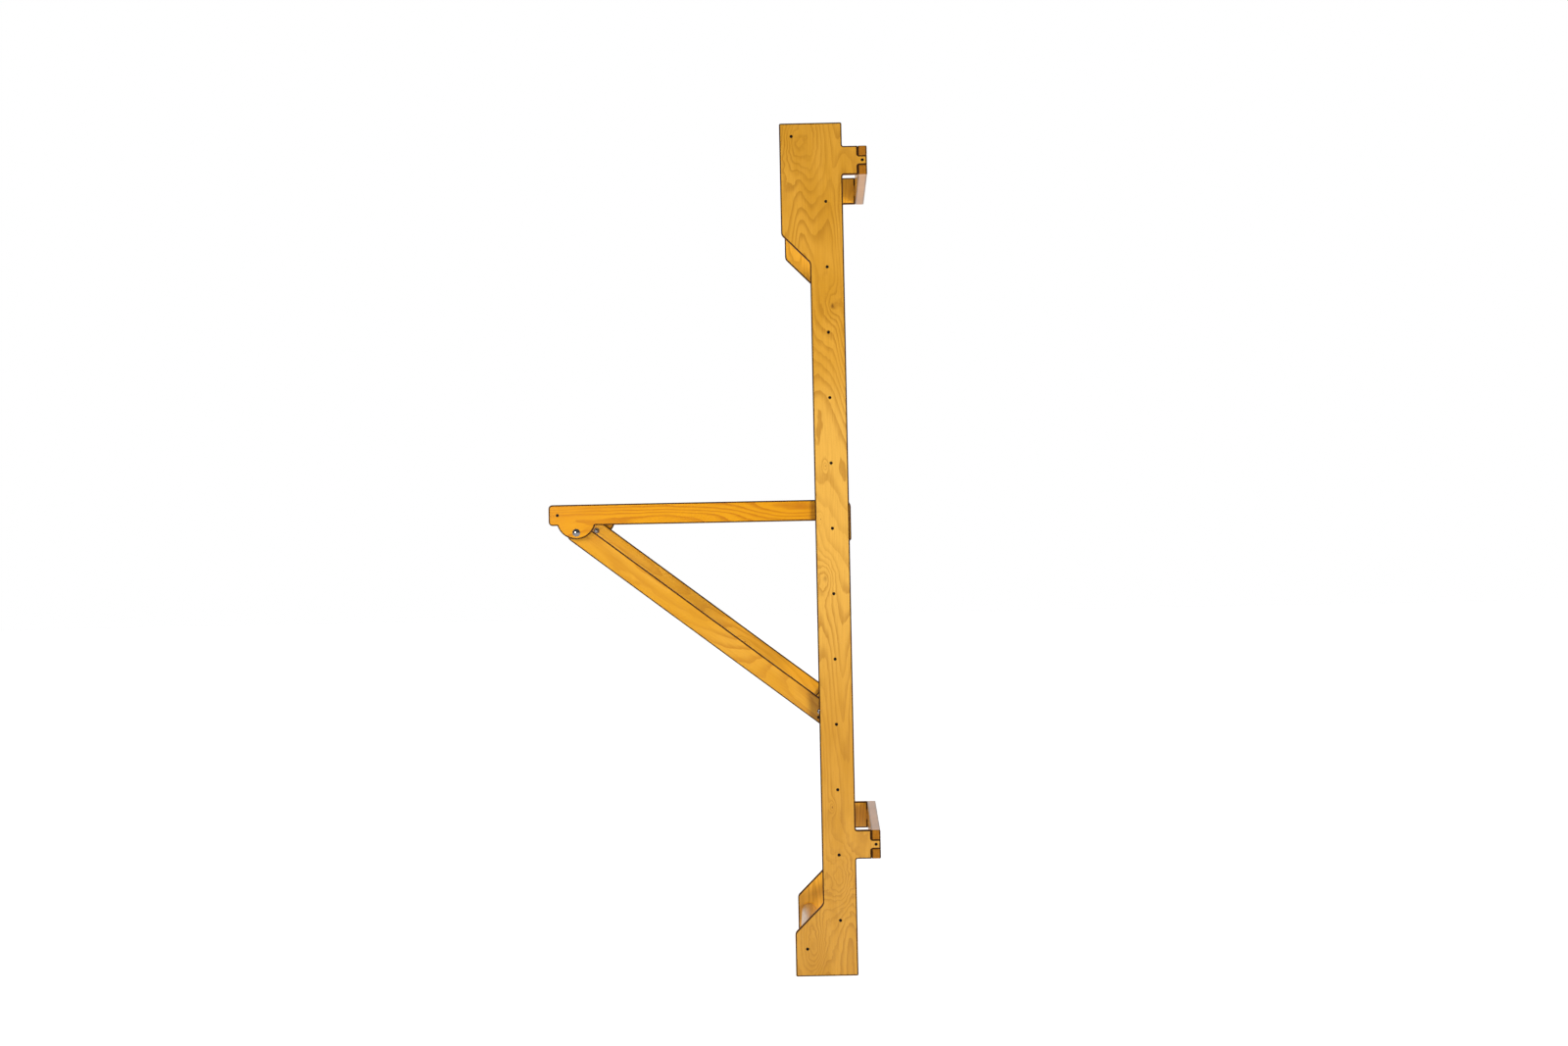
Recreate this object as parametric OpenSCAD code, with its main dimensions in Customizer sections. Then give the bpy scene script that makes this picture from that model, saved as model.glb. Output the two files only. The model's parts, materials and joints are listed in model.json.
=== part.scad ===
// Wall bars with a hook-on pull-up bracket.
// X runs along the rungs, the user stands on the -Y side, the wall is the plane Y = 0 and +Z is up.
// Side profiles are drawn as [t, h]: t grows towards the wall from the row of rungs, h is the height.

/* [Ladder] */
// Width over the two uprights
ladder_w = 900; // [600:10:1200]
// Height of the uprights
ladder_h = 2200; // [1800:10:2700]
// Thickness of the plywood in the uprights, arms and braces
ply_t = 24; // [18:0.5:30]
// Width of an upright between its heads
upright_w = 88; // [76:1:120]
// How far the wide heads reach in front of the narrow part
head_reach = 73; // [60:1:100]
// Height of the wide part at the top
top_head_h = 287; // [200:1:350]
// Height of the wide part at the bottom
bottom_head_h = 113; // [90:1:160]
// Corner radius where a head slopes into the narrow part
head_corner_r = 15; // [5:1:30]
// Corner radius of the upright's ends and of its tabs
small_corner_r = 4; // [1:0.5:6]

/* [Rungs] */
// Radius of a rung
rung_r = 20; // [16:0.5:25]
// Number of rungs in the straight row
row_rungs = 12; // [10:1:14]
// Height of the lowest rung of the row
first_rung_h = 143.5; // [100:0.5:200]
// Drop from the top of the uprights to the highest rung of the row
last_rung_drop = 203; // [120:1:300]
// Distance of a front rung behind the heads' front edge
front_rung_inset = 31; // [28:1:45]
// Drop from the top of the uprights to the top front rung
top_front_drop = 34; // [30:1:80]
// Height of the bottom front rung
bottom_front_h = 71; // [40:1:90]
// Depth of the blind pocket that holds a rung's end
pocket_depth = 10; // [6:0.5:14]

/* [Wall rails] */
// Height of a wall rail and of the tab behind the upright
rail_h = 74; // [60:1:110]
// Thickness of a wall rail
rail_t = 24; // [18:0.5:30]
// Length of the tab between the upright and the rail
tab_len = 40; // [30:1:60]
// Height of the tongue that a rail's fork holds
tongue_h = 24; // [18:1:34]
// Drop from the top of the uprights to the middle of the top rail
top_rail_drop = 98; // [80:1:200]
// Height of the middle of the bottom rail
bottom_rail_h = 338; // [280:1:420]
// Distance between the two wall bolts in one rail
bolt_spacing = 720; // [400:10:1000]
// Radius of a wall bolt's hole
bolt_hole_r = 4.5; // [3:0.5:6]

/* [Pull-up bracket] */
// Row number of the rung that carries the hooks, counted from the floor
hook_rung = 7; // [6:1:8]
// Row number of the rung that carries the braces
foot_rung = 4; // [3:1:5]
// Distance from the hook rung to the front end of an arm
arm_reach = 734; // [610:1:880]
// Height of an arm and width of a brace
bar_stock_w = 54; // [46:1:65]
// Distance of the pull-up bar behind the arm's front end
grip_inset = 23; // [21:0.5:30]
// Radius of the pull-up bar
grip_r = 17.5; // [14:0.5:19]
// Depth of the blind pocket that holds the pull-up bar
grip_pocket = 8; // [5:0.5:12]
// Distance of the brace pivot behind the arm's front end
pivot_inset = 71; // [62:1:85]
// Drop of the brace pivot below the arm's lower edge
pivot_drop = 18.5; // [10:0.5:22]
// Radius of the round boss that carries the pivot
boss_r = 51; // [43:1:60]
// Rise of the boss centre above the pivot
boss_rise = 34; // [28:1:40]
// Radius of the arm's front corners
arm_corner_r = 10; // [4:1:14]
// Thickness of the hook prong behind the rung
prong_t = 28; // [20:1:36]
// Length of the hook prong below the rung's middle
prong_drop = 34; // [22:1:50]
// Corner radius of the hook prong
prong_corner_r = 8; // [3:1:10]
// Radius of the arm's top corner above the prong
shoulder_r = 20; // [8:1:28]

/* [Brace feet] */
// Angle left open between the foot's lip and the top of the rung
lip_open = 15; // [12:1:30]
// Angle that the foot reaches below the front of the rung
seat_below = 35; // [20:1:60]
// Distance from the rung's middle to the end of the foot cheek
cheek_reach = 63; // [60:1:90]
// Distance from the rung's middle to the foot bolt
foot_bolt_at = 51; // [45:1:60]
// Distance from the rung's middle to the two foot screws
foot_screw_at = 46; // [40:1:60]
// Distance of a foot screw from the brace's middle line
foot_screw_off = 14.5; // [13:0.5:20]

/* [Fasteners] */
// Radius of the pivot bolt
pivot_bolt_r = 4; // [3:0.5:5]
// Radius of the pivot bolt's domed head
pivot_head_r = 10; // [8:0.5:13]
// Radius of the foot bolt
foot_bolt_r = 3; // [2.5:0.5:4]
// Radius of the foot bolt's domed head
foot_head_r = 8; // [7:0.5:10]
// Thickness of every washer
washer_t = 1.6; // [1:0.1:2.5]
// Radius of the large washer between arm and brace
spacer_r = 12; // [10:0.5:15]
// Radius of a wood screw's head
screw_head_r = 4; // [3:0.1:5]
// Radius of a wood screw's shank
screw_r = 2.25; // [1.5:0.25:3]
// Length of the wood screws in the rungs, rails and pull-up bar
screw_len = 50; // [45:1:70]
// Wood left behind the tip of a brace foot's screw
foot_screw_back = 10; // [6:1:14]
// Depth of a screw head below the wood
screw_sink = 0.8; // [0.3:0.1:2]

/* [Clearances] */
// Radial clearance of a wooden fit that stays still
wood_fit = 0.1; // [0.05:0.05:0.3]
// Radial clearance of the hook on its rung
hook_play = 0.08; // [0.02:0.01:0.1]
// Radial clearance of a brace on its pivot bolt
pivot_play = 0.06; // [0.02:0.01:0.1]
// Clearance of the brace foot round its rung
foot_play = 0.4; // [0.3:0.1:1]
// Side gap between an upright and an arm
side_gap = 1.5; // [0.5:0.1:4]
// Side gap between a brace and each washer
brace_gap = 0.3; // [0.3:0.1:1]

/* [Hidden] */
row_nodes = [for (i = [1:row_rungs]) str("rung_", i < 10 ? "0" : "", i)];

corner_steps = 6;          // straight steps in a rounded corner of an outline
cut = 1;                   // how far a cutting tool runs past the wood
edge_relief = 0.3;         // the arm's edges stand this much further off the rung than its seat
screw_head_t = 1;          // straight rim of a wood screw's head
screw_cone_t = 2.2;        // countersunk cone under it
screw_tip_t = 5;           // pointed end
dome_rise = 0.45;          // height of a bolt's domed head, against the head's radius
dome_core = 0.25;          // how far the shank runs up inside the head, against the head's height
nut_corner = 1.88;         // radius over a cap nut's corners, against the bolt's radius
nut_hex_t = 1.6;           // height of a cap nut's hexagon, against the bolt's radius
nut_dome = 1.5;            // radius of a cap nut's dome, against the bolt's radius
nut_bore = 1.8;            // length of bolt inside its cap nut, against the bolt's radius
small_washer = 2;          // radius of the washer under a nut, against the bolt's radius
head_steps = 96;           // steps round a domed head
round_steps = 64;          // steps round a rung, a washer or a seat
hole_steps = 48;           // steps round a bolt and its hole
screw_steps = 32;          // steps round a wood screw

outer_x = ladder_w / 2;
inner_x = outer_x - ply_t;
arm_x = inner_x - side_gap;                             // outer face of the right arm
arm_in_x = arm_x - ply_t;
brace_x = arm_in_x - washer_t - brace_gap;              // outer face of the right brace
brace_in_x = brace_x - ply_t;
cheek_in_x = brace_in_x - ply_t;                        // inner face of the right foot cheek

half_w = upright_w / 2;
front_t = -half_w - head_reach;
tab_t = half_w + tab_len;
wall_t = tab_t + rail_t;
rail_hs = [bottom_rail_h, ladder_h - top_rail_drop];
bolt_mid_h = (rail_hs[0] + rail_hs[1]) / 2;             // the origin's height above the floor
rung_pitch = (ladder_h - last_rung_drop - first_rung_h) / (row_rungs - 1);
front_rung_t = front_t + front_rung_inset;
top_front = [front_rung_t, ladder_h - top_front_drop];
bottom_front = [front_rung_t, bottom_front_h];
row_points = [for (i = [0:row_rungs - 1]) [0, first_rung_h + i * rung_pitch]];
rung_points = concat(row_points, [top_front, bottom_front]);
tongue_screws = [for (h = rail_hs) [wall_t - rail_t / 2, h]];
rung_len = 2 * (inner_x + pocket_depth - wood_fit);

hook_at = row_points[hook_rung - 1];
foot_at = row_points[foot_rung - 1];
seat_r = rung_r + hook_play;
edge_off = seat_r + edge_relief;                        // rung middle to the arm's lower edge and to the prong
grip_at = hook_at + [grip_inset - arm_reach, edge_off + bar_stock_w / 2];
grip_len = 2 * (arm_in_x + grip_pocket - wood_fit);
pivot_at = hook_at + [pivot_inset - arm_reach, edge_off - pivot_drop];
boss_at = pivot_at + [0, boss_rise];
brace_len = norm(pivot_at - foot_at);
brace_turn = atan2(pivot_at[1] - foot_at[1], pivot_at[0] - foot_at[0]);
stock_half = bar_stock_w / 2;
foot_screw_len = 2 * ply_t - foot_screw_back;
foot_seat_r = rung_r + foot_play;
lip_turn = 90 + lip_open - brace_turn;                  // the lip's end, seen along the brace
heel_turn = 180 + seat_below - brace_turn;              // the lower end of the seat, seen along the brace

birch = "burlywood";
dowel = "wheat";
orange_birch = "goldenrod";
steel = "silver";
black = "black";

// ---- helpers -------------------------------------------------------------------------------

function unit(v) = v / norm(v);

// The arc of radius r that rounds the corner q between its neighbours p and s.
function corner_arc(p, q, s, r) =
    let (a = unit(p - q), b = unit(s - q), half = acos(a * b) / 2,
         c = q + unit(a + b) * r / sin(half),
         from = q + a * r / tan(half) - c, to = q + b * r / tan(half) - c,
         start = atan2(from[1], from[0]), turn = atan2(to[1], to[0]) - start,
         sweep = turn > 180 ? turn - 360 : turn < -180 ? turn + 360 : turn)
    [for (i = [0:corner_steps]) let (g = start + sweep * i / corner_steps) c + r * [cos(g), sin(g)]];

// An outline from corners [t, h, radius].
function rounded(corners) =
    [for (i = [0:len(corners) - 1])
        let (n = len(corners), p = corners[(i + n - 1) % n], q = corners[i], s = corners[(i + 1) % n])
        each (q[2] == 0 ? [[q[0], q[1]]]
                        : corner_arc([p[0], p[1]], [q[0], q[1]], [s[0], s[1]], q[2]))];

// Moves the drawing frame to the row frame: wall at Y = 0, middle of the wall bolts at Z = 0.
module in_place() translate([0, -wall_t, -bolt_mid_h]) children();

// A flat plate whose faces are at x and x + t.
module plate(x, t) translate([x, 0, 0]) rotate([90, 0, 90]) linear_extrude(t) children();

// A round bar or hole along X.
module rod(x, len, r, at) translate([x, at[0], at[1]]) rotate([0, 90, 0]) cylinder(h = len, r = r, $fn = round_steps);

// Puts a fastener on the right face at x, pointing inwards.
module driven(x, at) translate([x, at[0], at[1]]) rotate([0, -90, 0]) children();

module left_side() mirror([1, 0, 0]) children();

// A countersunk wood screw. Its hole is the same shape, wider by grow and open at the face.
module wood_screw(len, grow = 0) {
    r = screw_r + grow;
    head_r = screw_head_r + grow;
    rim = screw_sink + screw_head_t;
    mouth = grow > 0 ? -cut : screw_sink;
    rotate_extrude($fn = screw_steps)
        polygon([[0, mouth], [head_r, mouth], [head_r, rim], [r, rim + screw_cone_t],
                 [r, len - screw_tip_t], [0, len + grow]]);
}

// A bolt with a shallow domed head, outwards of its face.
module dome_bolt(r, head_r, len) {
    head_t = head_r * dome_rise;
    core = head_t * dome_core;
    ball_r = (head_r * head_r + head_t * head_t) / (2 * head_t);
    intersection() {
        translate([0, 0, ball_r - head_t]) sphere(r = ball_r, $fn = head_steps);
        translate([0, 0, -head_t - cut]) cylinder(h = head_t + cut, r = head_r + cut, $fn = head_steps);
    }
    translate([0, 0, -core]) cylinder(h = len + core, r = r, $fn = hole_steps);
}

module washer(r, hole_r) difference() {
    cylinder(h = washer_t, r = r, $fn = round_steps);
    translate([0, 0, -cut]) cylinder(h = washer_t + 2 * cut, r = hole_r, $fn = hole_steps);
}

// A hexagon cap nut with a domed end and a blind bore.
module cap_nut(bolt_r) {
    hex_r = bolt_r * nut_corner;
    hex_t = bolt_r * nut_hex_t;
    dome_r = bolt_r * nut_dome;
    bore_r = bolt_r + wood_fit;
    difference() {
        union() {
            cylinder(h = hex_t, r = hex_r, $fn = 6);
            translate([0, 0, hex_t]) sphere(r = dome_r, $fn = round_steps);
        }
        translate([0, 0, -dome_r - cut]) cylinder(h = dome_r + cut, r = hex_r + cut, $fn = hole_steps);
        translate([0, 0, -cut])
            cylinder(h = nut_grip(bolt_r) + wood_fit + cut, r = bore_r, $fn = hole_steps);
    }
}
function nut_grip(bolt_r) = bolt_r * nut_bore;          // length of bolt inside its cap nut

// ---- ladder --------------------------------------------------------------------------------

// The tab and tongue at height h, walked upwards along the upright's back edge.
function tab_corners(h) =
    [[half_w, h - rail_h / 2, small_corner_r], [tab_t, h - rail_h / 2, 0],
     [tab_t, h - tongue_h / 2, small_corner_r], [wall_t, h - tongue_h / 2, 0],
     [wall_t, h + tongue_h / 2, 0], [tab_t, h + tongue_h / 2, small_corner_r],
     [tab_t, h + rail_h / 2, 0], [half_w, h + rail_h / 2, small_corner_r]];

function upright_corners() = concat(
    [[front_t, 0, small_corner_r], [half_w, 0, small_corner_r]],
    tab_corners(rail_hs[0]), tab_corners(rail_hs[1]),
    [[half_w, ladder_h, small_corner_r], [front_t, ladder_h, small_corner_r],
     [front_t, ladder_h - top_head_h, head_corner_r],
     [-half_w, ladder_h - top_head_h - head_reach, head_corner_r],
     [-half_w, bottom_head_h + head_reach, head_corner_r],
     [front_t, bottom_head_h, head_corner_r]]);

module right_upright() color(birch) difference() {
    plate(inner_x, ply_t) polygon(rounded(upright_corners()));
    for (p = rung_points) rod(inner_x - cut, pocket_depth + cut, rung_r + wood_fit, p);
    for (p = concat(rung_points, tongue_screws)) driven(outer_x, p) wood_screw(screw_len, wood_fit);
}

module rung(at) color(dowel) difference() {
    rod(-rung_len / 2, rung_len, rung_r, at);
    driven(outer_x, at) wood_screw(screw_len, wood_fit);
    left_side() driven(outer_x, at) wood_screw(screw_len, wood_fit);
}

// One of a rail's two fork prongs, on the side of the tongue that up (1 or -1) gives.
module rail_prong(h, up) {
    near = h + up * (tongue_h / 2 + wood_fit);
    far = h + up * rail_h / 2;
    plate(inner_x - cut, ply_t + cut)
        polygon(rounded([[tab_t + wood_fit, near, small_corner_r + wood_fit], [wall_t, near, 0],
                         [wall_t, far, 0], [tab_t + wood_fit, far, 0]]));
}

module rail_ends(h) {
    for (up = [-1, 1]) rail_prong(h, up);
}

module wall_rail(h) color(birch) difference() {
    union() {
        translate([wood_fit - inner_x, tab_t + wood_fit, h - rail_h / 2])
            cube([2 * (inner_x - wood_fit), rail_t - wood_fit, rail_h]);
        rail_ends(h);
        left_side() rail_ends(h);
    }
    for (x = [-bolt_spacing / 2, bolt_spacing / 2])
        translate([x, tab_t - cut, h]) rotate([-90, 0, 0])
            cylinder(h = rail_t + 2 * cut, r = bolt_hole_r, $fn = hole_steps);
    driven(outer_x, [wall_t - rail_t / 2, h]) wood_screw(screw_len, wood_fit);
    left_side() driven(outer_x, [wall_t - rail_t / 2, h]) wood_screw(screw_len, wood_fit);
}

module right_rung_screws() color(black)
    for (p = rung_points) driven(outer_x, p) wood_screw(screw_len);

module right_rail_screws() color(black)
    for (p = tongue_screws) driven(outer_x, p) wood_screw(screw_len);

// ---- pull-up bracket ------------------------------------------------------------------------

// The arm's side view from the hook rung's middle. The seat itself is cut as a true cylinder.
function arm_corners() =
    let (back = edge_off + prong_t, top = edge_off + bar_stock_w)
    [[-arm_reach, edge_off, arm_corner_r], [0, edge_off, 0], [0, 0, 0], [edge_off, 0, 0],
     [edge_off, -prong_drop, prong_corner_r], [back, -prong_drop, prong_corner_r],
     [back, top, shoulder_r], [-arm_reach, top, arm_corner_r]];

// The round boss bulges out below the arm only.
module arm_boss() intersection() {
    rod(arm_in_x, ply_t, boss_r, boss_at);
    translate([arm_in_x - cut, boss_at[0] - boss_r - cut, pivot_at[1] - 2 * boss_r])
        cube([ply_t + 2 * cut, 2 * (boss_r + cut), grip_at[1] - pivot_at[1] + 2 * boss_r]);
}

module right_arm() color(orange_birch) difference() {
    union() {
        plate(arm_in_x, ply_t) translate(hook_at) polygon(rounded(arm_corners()));
        arm_boss();
    }
    rod(arm_in_x - cut, ply_t + 2 * cut, seat_r, hook_at);
    rod(arm_in_x - cut, ply_t + 2 * cut, pivot_bolt_r + wood_fit, pivot_at);
    rod(arm_in_x - cut, grip_pocket + cut, grip_r + wood_fit, grip_at);
    driven(arm_x, grip_at) wood_screw(screw_len, wood_fit);
}

module pull_up_bar() color(dowel) difference() {
    rod(-grip_len / 2, grip_len, grip_r, grip_at);
    driven(arm_x, grip_at) wood_screw(screw_len, wood_fit);
    left_side() driven(arm_x, grip_at) wood_screw(screw_len, wood_fit);
}

module right_bar_screw() color(black) driven(arm_x, grip_at) wood_screw(screw_len);

// The foot's end of a brace, drawn along the brace from the foot rung's middle.
function foot_corners() =
    [[stock_half / tan(heel_turn), stock_half, small_corner_r], [0, 0, 0],
     [-stock_half / tan(lip_turn), -stock_half, small_corner_r]];

module along_brace() translate(foot_at) rotate(brace_turn) children();

// A point along the brace, u from the foot rung's middle and v off the brace's middle line.
function on_brace(u, v) = foot_at + u * [cos(brace_turn), sin(brace_turn)]
    + v * [-sin(brace_turn), cos(brace_turn)];

foot_bolt_point = on_brace(foot_bolt_at, 0);
foot_screw_points = [for (v = [-foot_screw_off, foot_screw_off]) on_brace(foot_screw_at, v)];

module foot_holes(x, t) {
    rod(x - cut, t + 2 * cut, foot_seat_r, foot_at);
    rod(x - cut, t + 2 * cut, foot_bolt_r + wood_fit, foot_bolt_point);
    for (p = foot_screw_points) driven(brace_x, p) wood_screw(foot_screw_len, wood_fit);
}

module right_brace() color(orange_birch) difference() {
    union() {
        plate(brace_in_x, ply_t) along_brace()
            polygon(rounded(concat([[brace_len, -stock_half, 0], [brace_len, stock_half, 0]], foot_corners())));
        rod(brace_in_x, ply_t, stock_half, pivot_at);
    }
    rod(brace_in_x - cut, ply_t + 2 * cut, pivot_bolt_r + pivot_play, pivot_at);
    foot_holes(brace_in_x, ply_t);
}

module right_foot_cheek() color(orange_birch) difference() {
    plate(cheek_in_x, ply_t) along_brace()
        polygon(rounded(concat([[cheek_reach, -stock_half, prong_corner_r],
                                [cheek_reach, stock_half, prong_corner_r]], foot_corners())));
    foot_holes(cheek_in_x, ply_t);
}

pivot_nut_x = brace_in_x - brace_gap - washer_t;
foot_nut_x = cheek_in_x - washer_t;

module right_pivot_bolt() color(steel) driven(arm_x, pivot_at)
    dome_bolt(pivot_bolt_r, pivot_head_r, arm_x - pivot_nut_x + nut_grip(pivot_bolt_r));

module right_pivot_spacer() color(steel) driven(arm_in_x, pivot_at)
    washer(spacer_r, pivot_bolt_r + wood_fit);

module right_pivot_washer() color(steel) driven(pivot_nut_x + washer_t, pivot_at)
    washer(pivot_bolt_r * small_washer, pivot_bolt_r + wood_fit);

module right_pivot_nut() color(steel) driven(pivot_nut_x, pivot_at) cap_nut(pivot_bolt_r);

module right_foot_bolt() color(steel) driven(brace_x, foot_bolt_point)
    dome_bolt(foot_bolt_r, foot_head_r, brace_x - foot_nut_x + nut_grip(foot_bolt_r));

module right_foot_washer() color(steel) driven(cheek_in_x, foot_bolt_point)
    washer(foot_bolt_r * small_washer, foot_bolt_r + wood_fit);

module right_foot_nut() color(steel) driven(foot_nut_x, foot_bolt_point) cap_nut(foot_bolt_r);

module right_foot_screws() color(black)
    for (p = foot_screw_points) driven(brace_x, p) wood_screw(foot_screw_len);

// ---- nodes ----------------------------------------------------------------------------------

in_place() right_upright();
in_place() left_side() right_upright();  // left_upright
for (i = [0:row_rungs - 1])
    in_place() rung(row_points[i]);
in_place() rung(top_front);  // top_front_rung
in_place() rung(bottom_front);  // bottom_front_rung
in_place() wall_rail(rail_hs[1]);  // top_wall_rail
in_place() wall_rail(rail_hs[0]);  // bottom_wall_rail
in_place() right_rung_screws();
in_place() left_side() right_rung_screws();  // left_rung_screws
in_place() right_rail_screws();
in_place() left_side() right_rail_screws();  // left_rail_screws
in_place() right_arm();
in_place() left_side() right_arm();  // left_arm
in_place() pull_up_bar();
in_place() right_bar_screw();
in_place() left_side() right_bar_screw();  // left_bar_screw
in_place() right_brace();
in_place() left_side() right_brace();  // left_brace
in_place() right_foot_cheek();
in_place() left_side() right_foot_cheek();  // left_foot_cheek
in_place() right_pivot_bolt();
in_place() left_side() right_pivot_bolt();  // left_pivot_bolt
in_place() right_pivot_spacer();
in_place() left_side() right_pivot_spacer();  // left_pivot_spacer
in_place() right_pivot_washer();
in_place() left_side() right_pivot_washer();  // left_pivot_washer
in_place() right_pivot_nut();
in_place() left_side() right_pivot_nut();  // left_pivot_nut
in_place() right_foot_bolt();
in_place() left_side() right_foot_bolt();  // left_foot_bolt
in_place() right_foot_washer();
in_place() left_side() right_foot_washer();  // left_foot_washer
in_place() right_foot_nut();
in_place() left_side() right_foot_nut();  // left_foot_nut
in_place() right_foot_screws();
in_place() left_side() right_foot_screws();  // left_foot_screws
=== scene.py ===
import json
import math

import bmesh
import bpy
from mathutils import Matrix, Vector


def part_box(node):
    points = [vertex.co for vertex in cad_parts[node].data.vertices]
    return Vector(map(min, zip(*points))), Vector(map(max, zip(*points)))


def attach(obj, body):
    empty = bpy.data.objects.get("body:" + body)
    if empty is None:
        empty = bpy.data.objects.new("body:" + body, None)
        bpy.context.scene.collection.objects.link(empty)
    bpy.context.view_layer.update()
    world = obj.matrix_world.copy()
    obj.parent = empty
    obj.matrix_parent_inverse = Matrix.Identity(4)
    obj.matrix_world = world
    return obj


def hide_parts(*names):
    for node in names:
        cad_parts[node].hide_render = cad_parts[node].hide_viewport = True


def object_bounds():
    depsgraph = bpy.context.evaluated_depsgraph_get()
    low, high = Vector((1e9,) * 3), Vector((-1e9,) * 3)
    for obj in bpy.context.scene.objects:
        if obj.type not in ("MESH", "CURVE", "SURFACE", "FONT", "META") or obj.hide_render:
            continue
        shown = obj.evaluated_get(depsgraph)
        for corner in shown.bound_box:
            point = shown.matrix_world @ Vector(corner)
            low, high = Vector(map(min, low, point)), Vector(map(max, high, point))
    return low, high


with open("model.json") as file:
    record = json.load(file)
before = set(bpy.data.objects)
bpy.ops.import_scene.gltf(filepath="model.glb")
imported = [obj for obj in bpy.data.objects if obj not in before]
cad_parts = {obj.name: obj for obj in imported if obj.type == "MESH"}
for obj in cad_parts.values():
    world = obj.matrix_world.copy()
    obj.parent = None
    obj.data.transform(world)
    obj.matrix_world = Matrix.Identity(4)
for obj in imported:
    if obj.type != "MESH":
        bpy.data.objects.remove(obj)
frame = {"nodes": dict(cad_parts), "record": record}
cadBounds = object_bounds()
scene = bpy.context.scene
mm = 0.001
fit = 0.1 * mm
quarterTurn = math.radians(90)
print("frame loaded:", len(frame["nodes"]), "CAD nodes")


# ---- places, all read from the frame ----

def middle(node):
    low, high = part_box(node)
    return (low + high) / 2


def halfSize(node):
    low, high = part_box(node)
    return (high - low) / 2


def sideOf(node):
    return sides[node.split("_")[0]]


rungNodes = sorted(n for n in frame["nodes"] if n.startswith("rung_"))
rungNodes += ["top_front_rung", "bottom_front_rung"]
railNodes = ["top_wall_rail", "bottom_wall_rail"]
sides = {"right": 1, "left": -1}
footPlace = middle("rung_04")
pivotPlace = middle("right_pivot_bolt")
# M8 bolts at the pivots, M6 at the feet
boltRadius = {"pivot": 4 * mm, "foot": 3 * mm}
braceWay = Vector((0, pivotPlace.y - footPlace.y, pivotPlace.z - footPlace.z)).normalized()
braceTurn = math.atan2(braceWay.z, -braceWay.y)


# ---- small helpers ----

# corners closer than this become one, in the pieces made here and in the frame's
weldGap = {"own": 1e-6, "frame": 1e-5}
# how squarely a face looks along a direction, 1 for exactly
square = {"along": 0.9, "across": 0.1, "flat": 0.995}
softAngle = 35
crispAngle = 30


def makeActive(piece):
    bpy.ops.object.select_all(action="DESELECT")
    piece.select_set(True)
    bpy.context.view_layer.objects.active = piece


def editMode(piece, kind="FACE"):
    makeActive(piece)
    bpy.ops.object.mode_set(mode="EDIT")
    bpy.ops.mesh.select_mode(type=kind)


def objectMode():
    bpy.ops.object.mode_set(mode="OBJECT")


def selectWhere(piece, part, wanted):
    # part is "faces" or "edges"; picks what the rule wants and says how many it found
    mesh = bmesh.from_edit_mesh(piece.data)
    bpy.ops.mesh.select_all(action="DESELECT")
    found = [item for item in getattr(mesh, part) if wanted(item)]
    for item in found:
        item.select_set(True)
    mesh.select_flush_mode()
    bmesh.update_edit_mesh(piece.data)
    return len(found)


def applyModifier(piece, kind, **settings):
    made = piece.modifiers.new(kind.title(), kind)
    for key, value in settings.items():
        setattr(made, key, value)
    makeActive(piece)
    bpy.ops.object.modifier_apply(modifier=made.name)


def smooth(piece, degrees=softAngle):
    makeActive(piece)
    bpy.ops.object.shade_smooth_by_angle(angle=math.radians(degrees))
    applyModifier(piece, "WEIGHTED_NORMAL", keep_sharp=True, weight=100)


def fixNormals(piece):
    editMode(piece)
    bpy.ops.mesh.select_all(action="SELECT")
    bpy.ops.mesh.remove_doubles(threshold=weldGap["own"])
    bpy.ops.mesh.normals_make_consistent(inside=False)
    objectMode()


def settle(piece, body, slotName, *nodes):
    # the piece's place goes into its mesh, then it joins the frame
    makeActive(piece)
    bpy.ops.object.transform_apply(location=True, rotation=True, scale=True)
    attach(piece, body)
    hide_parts(*nodes)
    return piece


def bodyOf(node):
    bodies = frame["record"]["behaviour"]["bodies"]
    return next(body for body in bodies if node in bodies[body])


def camelName(node):
    first, *rest = node.split("_")
    return first + "".join(word.title() for word in rest)


# ---- shader helpers ----

def colour(red, green, blue):
    # a colour as a picture editor shows it, 0 to 255, made linear for the shader
    def linear(value):
        share = value / 255
        return share / 12.92 if share <= 0.04045 else ((share + 0.055) / 1.055) ** 2.4
    return linear(red), linear(green), linear(blue), 1


def feed(tree, made, inputs):
    # an input is either another node's socket or a plain value
    for key, value in inputs.items():
        if isinstance(value, bpy.types.NodeSocket):
            tree.links.new(value, made.inputs[key])
        else:
            made.inputs[key].default_value = value


def addNode(tree, kind, inputs=None, **settings):
    made = tree.nodes.new("ShaderNode" + kind)
    for key, value in settings.items():
        setattr(made, key, value)
    feed(tree, made, inputs or {})
    return made


def maths(tree, operation, first, second=0.0, third=0.0):
    inputs = {0: first, 1: second, 2: third}
    return addNode(tree, "Math", inputs, operation=operation).outputs[0]


def stretch(tree, vector, scale):
    return addNode(tree, "Mapping", {"Vector": vector, "Scale": scale}).outputs[0]


def noise(tree, vector, scale, detail, rough=0.5, seed=0.0):
    inputs = {"Vector": vector, "W": seed, "Scale": scale, "Detail": detail, "Roughness": rough}
    return addNode(tree, "TexNoise", inputs, noise_dimensions="4D").outputs[0]


def blendColours(tree, share, first, second):
    return addNode(tree, "Mix", {0: share, 6: first, 7: second}, data_type="RGBA").outputs[2]


def steps(tree, value, low, high, start=0.0, end=1.0):
    inputs = {"Value": value, "From Min": low, "From Max": high, "To Min": start, "To Max": end}
    return addNode(tree, "MapRange", inputs, interpolation_type="SMOOTHSTEP").outputs[0]


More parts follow.
